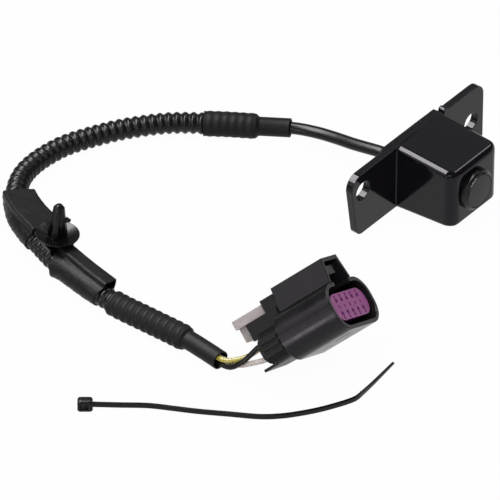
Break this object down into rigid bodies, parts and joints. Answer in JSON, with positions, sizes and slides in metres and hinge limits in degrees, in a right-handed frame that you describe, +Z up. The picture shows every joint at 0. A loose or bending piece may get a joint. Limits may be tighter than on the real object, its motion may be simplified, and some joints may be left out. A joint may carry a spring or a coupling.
{
  "type": "backup camera kit",
  "caption": "Flanged reversing camera on a lead in ribbed conduit, with a push-in clip, a sealed latching plug with slide lock, and a loose cable tie.",
  "frame": {"origin": "foot of the camera's flange, in the middle of its thickness and of its length, on the table", "axes": "+Z up, -Y the way the lens looks, +X along the flange"},
  "size_m": [0.1861, 0.1538, 0.041],
  "materials": {
    "gloss_black": "polished",
    "satin_black": "satin",
    "dark_glass": "polished",
    "lens_glass": "polished",
    "seal_rubber": "matte",
    "sensor": "satin",
    "board": "satin",
    "brass": "satin",
    "chip": "matte",
    "header_plastic": "satin",
    "screw_steel": "satin",
    "cable_jacket": "satin",
    "sleeve": "matte",
    "conduit": "satin",
    "tape": "satin",
    "clip_plastic": "satin",
    "wire_black": "satin",
    "wire_yellow": "satin",
    "wire_white": "satin",
    "plug_plastic": "satin",
    "block_plastic": "satin",
    "retainer_purple": "satin",
    "wire_seal": "matte",
    "cavity_plug": "satin",
    "terminal_metal": "satin",
    "lock_grey": "satin",
    "tie_plastic": "satin"
  },
  "bodies": {
    "kit": {"front_housing": "gloss_black", "lens_barrel": "satin_black", "cover_glass": "dark_glass", "lens_seal": "seal_rubber", "front_lens": "lens_glass", "lens_spacer": "satin_black", "rear_lens": "lens_glass", "lens_retaining_ring": "satin_black", "barrel_nut": "satin_black", "lens_holder": "satin_black", "image_sensor": "sensor", "sensor_board": "board", "board_spacers": "brass", "video_board": "board", "video_chip": "chip", "cable_header": "header_plastic", "cover_gasket": "seal_rubber", "rear_cover": "gloss_black", "cover_screws": "screw_steel", "cable_gland": "seal_rubber", "camera_cable": "cable_jacket", "front_sleeve": "sleeve", "corrugated_conduit": "conduit", "bend_tape": "tape", "push_in_clip": "clip_plastic", "clip_tape": "tape", "rear_sleeve": "sleeve", "black_wire": "wire_black", "yellow_wire": "wire_yellow", "white_wire": "wire_white", "plug_shroud": "plug_plastic", "terminal_block": "block_plastic", "shroud_seal": "seal_rubber", "wire_seal": "wire_seal", "cavity_plugs": "cavity_plug", "rear_cap": "block_plastic", "terminals": "terminal_metal"},
    "slide_lock": {"slide_lock": "lock_grey"},
    "latch_lever": {"latch_lever": "plug_plastic"},
    "terminal_retainer": {"terminal_retainer": "retainer_purple"},
    "cable_tie": {"cable_tie": "tie_plastic"},
    "tie_pawl": {"tie_pawl": "tie_plastic"}
  },
  "joints": [
    {"name": "slide_lock_push", "type": "slide", "parent": "kit", "child": "slide_lock", "axis": [0.4586, -0.6215, 0.6351], "range_m": [0, 0.0044]},
    {"name": "latch_press", "type": "hinge", "parent": "kit", "child": "latch_lever", "pos_m": [-0.08423, -0.02781, 0.03199], "axis": [-0.8682, -0.1609, 0.4695], "range_deg": [0, 5], "stiffness_Nm_per_rad": 0.5},
    {"name": "retainer_pull", "type": "slide", "parent": "kit", "child": "terminal_retainer", "axis": [0.4586, -0.6215, 0.6351], "range_m": [0, 0.0015]},
    {"name": "tie_lift", "type": "slide", "parent": "kit", "child": "cable_tie", "axis": [0, 0, 1], "range_m": [0, 0.05]},
    {"name": "pawl_flex", "type": "hinge", "parent": "cable_tie", "child": "tie_pawl", "pos_m": [-0.14959, 0.00938, 0.002], "axis": [0, 0, 1], "range_deg": [0, 12], "stiffness_Nm_per_rad": 0.005}
  ]
}
